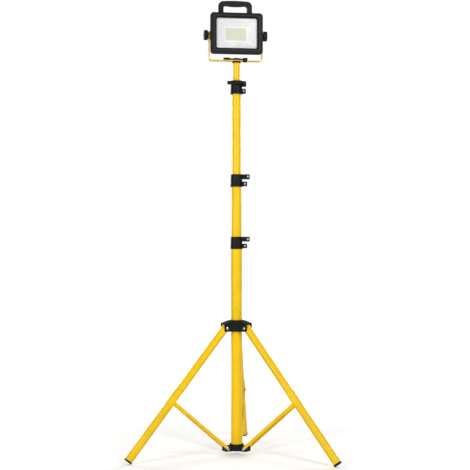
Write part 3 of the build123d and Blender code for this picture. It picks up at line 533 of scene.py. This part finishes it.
def add_collar_beads(number, body):
    """Three fine beads round the lower part of a clamp's collar, open at its slot."""
    low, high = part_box("clamp_body_" + number)
    bm = bmesh.new()
    span = high[2] - low[2]
    for lift in (8, 10.6, 13.2):
        height = lift * MM
        surface = COLLAR_R - COLLAR_TAPER * height / span
        profile = half_round(surface, low[2] + height, 0.55 * MM, 0.4 * MM)
        sweep_arc(bm, profile, Matrix.Identity(4), EAR_TURN + EAR_SPAN, EAR_TURN + 2 * math.pi - EAR_SPAN)
    add_mesh("collar_beads_" + number, bm, "dark_plastic", body)


def add_bolt_ends(number, body):
    """Domed thread ends on the nuts of a clamp's bolts."""
    node = NODES["clamp_bolts_" + number]
    along = Vector((-math.sin(EAR_TURN), math.cos(EAR_TURN), 0))
    across = Vector((math.cos(EAR_TURN), math.sin(EAR_TURN), 0))
    bm = bmesh.new()
    points = [node.matrix_world @ v.co for v in node.data.vertices]
    for side in (-1, 1):
        reach = max(side * point.dot(along) for point in points)
        ends = [point for point in points if side * point.dot(along) > reach - 0.05 * MM]
        for group in split_by_height(ends):
            low = [min(point.dot(across) for point in group), min(point.z for point in group)]
            high = [max(point.dot(across) for point in group), max(point.z for point in group)]
            middle = across * (low[0] + high[0]) / 2 + along * side * reach
            middle.z = (low[1] + high[1]) / 2
            lathe(bm, dome(2.4 * MM, 0.9 * MM), axis_frame(middle, along * side), 20)
    add_mesh("bolt_ends_" + number, bm, "steel", body)


def split_by_height(points, step=12 * MM):
    """Groups points that lie more than a step apart in height."""
    groups = []
    for point in sorted(points, key=lambda one: one.z):
        if groups and point.z - groups[-1][-1].z < step:
            groups[-1].append(point)
        else:
            groups.append([point])
    return groups


def add_lever_ribs(number):
    """Upright grip ribs on the outside of a clamp lever's arm, near its tip."""
    node = NODES["clamp_lever_" + number]
    points = [node.matrix_world @ v.co for v in node.data.vertices]
    low, high = min(point.z for point in points), max(point.z for point in points)
    across = Vector((math.cos(EAR_TURN), math.sin(EAR_TURN), 0))
    along = Vector((-math.sin(EAR_TURN), math.cos(EAR_TURN), 0))
    side = 1 if sum(point.dot(along) for point in points) > 0 else -1
    face = max(side * point.dot(along) for point in points)
    bm = bmesh.new()
    for step in range(7):
        offset = (step - 3) * 2.6 * MM
        place = Matrix.Translation(across * offset + along * side * (face - 0.35 * MM))
        profile = [(0, low + 1.6 * MM), (0.5 * MM, low + 1.6 * MM), (0.8 * MM, low + 2.2 * MM),
                   (0.8 * MM, high - 2.2 * MM), (0.5 * MM, high - 1.6 * MM), (0, high - 1.6 * MM)]
        lathe(bm, profile, place, 14)
    add_mesh("lever_ribs_" + number, bm, "dark_plastic", "lever_" + number)


def add_lock_cap():
    """Ring and screw end in the middle of the crown's locking knob."""
    point, axis = pivot("crown_lock_turn")
    knob = NODES["crown_lock_knob"]
    outer = max((knob.matrix_world @ v.co).dot(axis) for v in knob.data.vertices)
    place = axis_frame(axis * outer + Vector((0, 0, point.z)), axis)
    bm = bmesh.new()
    profile = [(0, -1), (8.4, -1), (8.4, 0.3), (7.6, 0.8), (6.9, 0.3), (6.4, 0.1), (4.2, 0.1),
               (3.8, 0.5), (3.2, 0.7), (0, 0.8)]
    lathe(bm, [(radius * MM, height * MM) for radius, height in profile], place, 36)
    add_mesh("crown_lock_cap", bm, "dark_plastic", "crown_lock")


# sizes of the clamps' collars, shared with the CAD
COLLAR_R = 21.4 * MM
COLLAR_TAPER = 1.4 * MM
EAR_TURN = math.radians(-8)
EAR_SPAN = math.radians(27)
CLAMP_BODIES = {"1": "mast_base", "2": "section_2", "3": "section_3"}

add_rivet_domes("crown_rivet_domes", "crown_pins", ["leg_fold_" + n for n in LEGS], "crown")
add_rivet_domes("hub_rivet_domes", "hub_pins", ["brace_fold_" + n for n in LEGS], "mast_base")
add_knob_cap(-1, "left")
add_knob_cap(1, "right")
add_wing_screw()
add_box_lid_screws()
add_gland_seal()
add_board_screws()
add_lock_cap()
for number, body in CLAMP_BODIES.items():
    add_collar_beads(number, body)
    add_bolt_ends(number, body)
    add_lever_ribs(number)


# ---------------- stage, lights and camera ----------------

# The camera stands in front of the tripod, turned 8 degrees towards -X, level with the lowest clamp.
VIEW_TURN = math.radians(-8)
VIEW_DISTANCE = 4.06
VIEW_HEIGHT = 0.748
VIEW_LENS = 88.1      # mm
HORIZON_SHIFT = 0.017
MAST_SHIFT = -0.0032


def add_camera():
    data = bpy.data.cameras.new("camera")
    data.lens = VIEW_LENS
    data.shift_x = MAST_SHIFT
    data.shift_y = HORIZON_SHIFT
    data.clip_end = 60
    camera = bpy.data.objects.new("camera", data)
    camera.location = (VIEW_DISTANCE * math.sin(VIEW_TURN), -VIEW_DISTANCE * math.cos(VIEW_TURN), VIEW_HEIGHT)
    camera.rotation_euler = (math.pi / 2, 0, VIEW_TURN)
    bpy.context.collection.objects.link(camera)
    bpy.context.scene.camera = camera


def add_light(name, angle, distance, height, size, power, aim):
    """Soft area light that faces a point on the mast. angle is the side it stands at, 0 in front."""
    data = bpy.data.lights.new(name, "AREA")
    data.shape = "RECTANGLE"
    data.size, data.size_y = size
    data.energy = power
    light = bpy.data.objects.new(name, data)
    turn = VIEW_TURN + math.radians(angle)
    light.location = (distance * math.sin(turn), -distance * math.cos(turn), height)
    direction = Vector((0, 0, aim)) - light.location
    light.rotation_euler = direction.to_track_quat("-Z", "Y").to_euler()
    bpy.context.collection.objects.link(light)


FLOOR_RADIUS = 14


def add_stage():
    """Pale floor that is much wider than any view."""
    bm = bmesh.new()
    bmesh.ops.create_circle(bm, cap_ends=True, segments=96, radius=FLOOR_RADIUS)
    mesh = bpy.data.meshes.new("studio_floor")
    bm.to_mesh(mesh)
    bm.free()
    floor = bpy.data.objects.new("studio_floor", mesh)
    mesh.materials.append(floor_surface("studio_floor"))
    bpy.context.collection.objects.link(floor)


def add_world(shown, lighting):
    """White backdrop for the camera and a weaker even light for the object."""
    world = bpy.data.worlds.new("studio")
    world.use_nodes = True
    tree = world.node_tree
    seen = tree.nodes["Background"]
    seen.inputs["Strength"].default_value = shown
    seen.inputs["Color"].default_value = (1, 1, 1, 1)
    soft = tree.nodes.new("ShaderNodeBackground")
    soft.inputs["Strength"].default_value = lighting
    soft.inputs["Color"].default_value = (1, 1, 1, 1)
    path = tree.nodes.new("ShaderNodeLightPath")
    mix = tree.nodes.new("ShaderNodeMixShader")
    tree.links.new(path.outputs["Is Camera Ray"], mix.inputs["Fac"])
    tree.links.new(soft.outputs["Background"], mix.inputs[1])
    tree.links.new(seen.outputs["Background"], mix.inputs[2])
    tree.links.new(mix.outputs["Shader"], tree.nodes["World Output"].inputs["Surface"])
    bpy.context.scene.world = world


add_camera()
add_world(1.0, 0.22)
add_stage()
add_light("key", 30, 3.2, 2.2, (0.6, 2.4), 60, 0.9)
add_light("fill", -40, 3.4, 1.6, (0.5, 2.4), 48, 0.9)
add_light("back_right", 142, 3.3, 2.2, (1.0, 2.4), 52, 0.9)
add_light("back_left", -146, 3.3, 2.0, (1.0, 2.4), 44, 0.9)
bpy.context.scene.view_settings.view_transform = "Standard"
